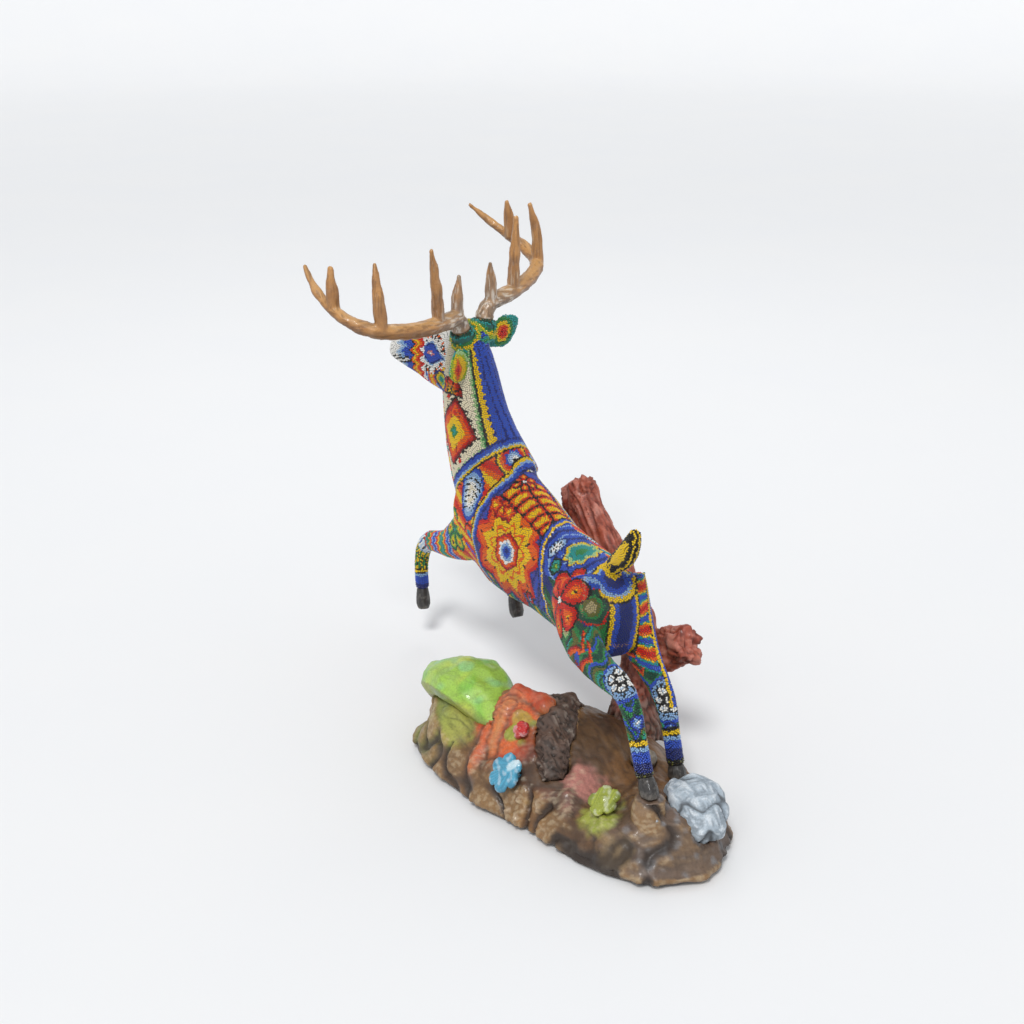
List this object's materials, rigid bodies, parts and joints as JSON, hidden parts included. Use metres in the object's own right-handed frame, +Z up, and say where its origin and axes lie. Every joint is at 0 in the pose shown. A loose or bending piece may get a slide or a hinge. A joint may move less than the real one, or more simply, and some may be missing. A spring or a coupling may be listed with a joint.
{
  "type": "beaded deer figure",
  "caption": "Leaping deer covered in seed beads, with lift-out cast antlers, carried by a driftwood trunk on a painted landscape base.",
  "frame": {"origin": "middle of the felt on the underside of the base", "axes": "+Z up, the deer leaps towards -X, its left side faces -Y"},
  "size_m": [0.7481, 0.3426, 0.5741],
  "materials": {
    "carved_core": "hardened carved core, sealed",
    "bead_skin": "glass seed beads in wax, many bright colours, glossy",
    "horn": "cast resin antler, tan with grey streaks, satin",
    "hoof": "dark painted resin, satin",
    "steel": "plain bar",
    "sleeve": "drawn tube",
    "painted_resin": "cast resin, hand painted in earth colours, satin",
    "red_wood": "cast resin driftwood, reddish brown wash",
    "green_paint": "painted resin, lime green",
    "bark_paint": "painted resin, grey brown dry brushed",
    "white_paint": "painted resin, white and grey",
    "blue_petal": "painted resin, light blue",
    "red_petal": "painted resin, red",
    "yellow_petal": "painted resin, yellow green",
    "felt": "short felt"
  },
  "bodies": {
    "figure": {"antler_left_sleeve": "sleeve", "antler_right_sleeve": "sleeve", "bark_log": "bark_paint", "base_casting": "painted_resin", "base_felt": "felt", "blue_flower": "blue_petal", "cup_flower": "yellow_petal", "driftwood_trunk": "red_wood", "front_trunk_screw": "steel", "green_slab": "green_paint", "head_bead_skin": "bead_skin", "left_ear": "bead_skin", "left_fore_dowel": "carved_core", "left_fore_hoof": "hoof", "left_fore_leg_bead_skin": "bead_skin", "left_fore_leg_core": "carved_core", "left_hind_anchor": "steel", "left_hind_dowel": "carved_core", "left_hind_hoof": "hoof", "left_hind_leg_bead_skin": "bead_skin", "left_hind_leg_core": "carved_core", "neck_and_head_core": "carved_core", "neck_bead_skin": "bead_skin", "neck_dowel": "carved_core", "rear_trunk_screw": "steel", "red_blossom": "red_petal", "right_ear": "bead_skin", "right_fore_dowel": "carved_core", "right_fore_hoof": "hoof", "right_fore_leg_bead_skin": "bead_skin", "right_fore_leg_core": "carved_core", "right_hind_anchor": "steel", "right_hind_dowel": "carved_core", "right_hind_hoof": "hoof", "right_hind_leg_bead_skin": "bead_skin", "right_hind_leg_core": "carved_core", "round_stone": "painted_resin", "tail_bead_skin": "bead_skin", "torso_bead_skin": "bead_skin", "torso_core": "carved_core", "trunk_support_rod": "steel", "white_rock": "white_paint"},
    "antler_left": {"antler_left": "horn"},
    "antler_right": {"antler_right": "horn"}
  },
  "joints": [
    {"name": "antler_left_lift", "type": "slide", "parent": "figure", "child": "antler_left", "axis": [0.2109, -0.3247, 0.922], "range_m": [0, 0.03]},
    {"name": "antler_right_lift", "type": "slide", "parent": "figure", "child": "antler_right", "axis": [-0.1389, 0.2139, 0.9669], "range_m": [0, 0.03]}
  ]
}
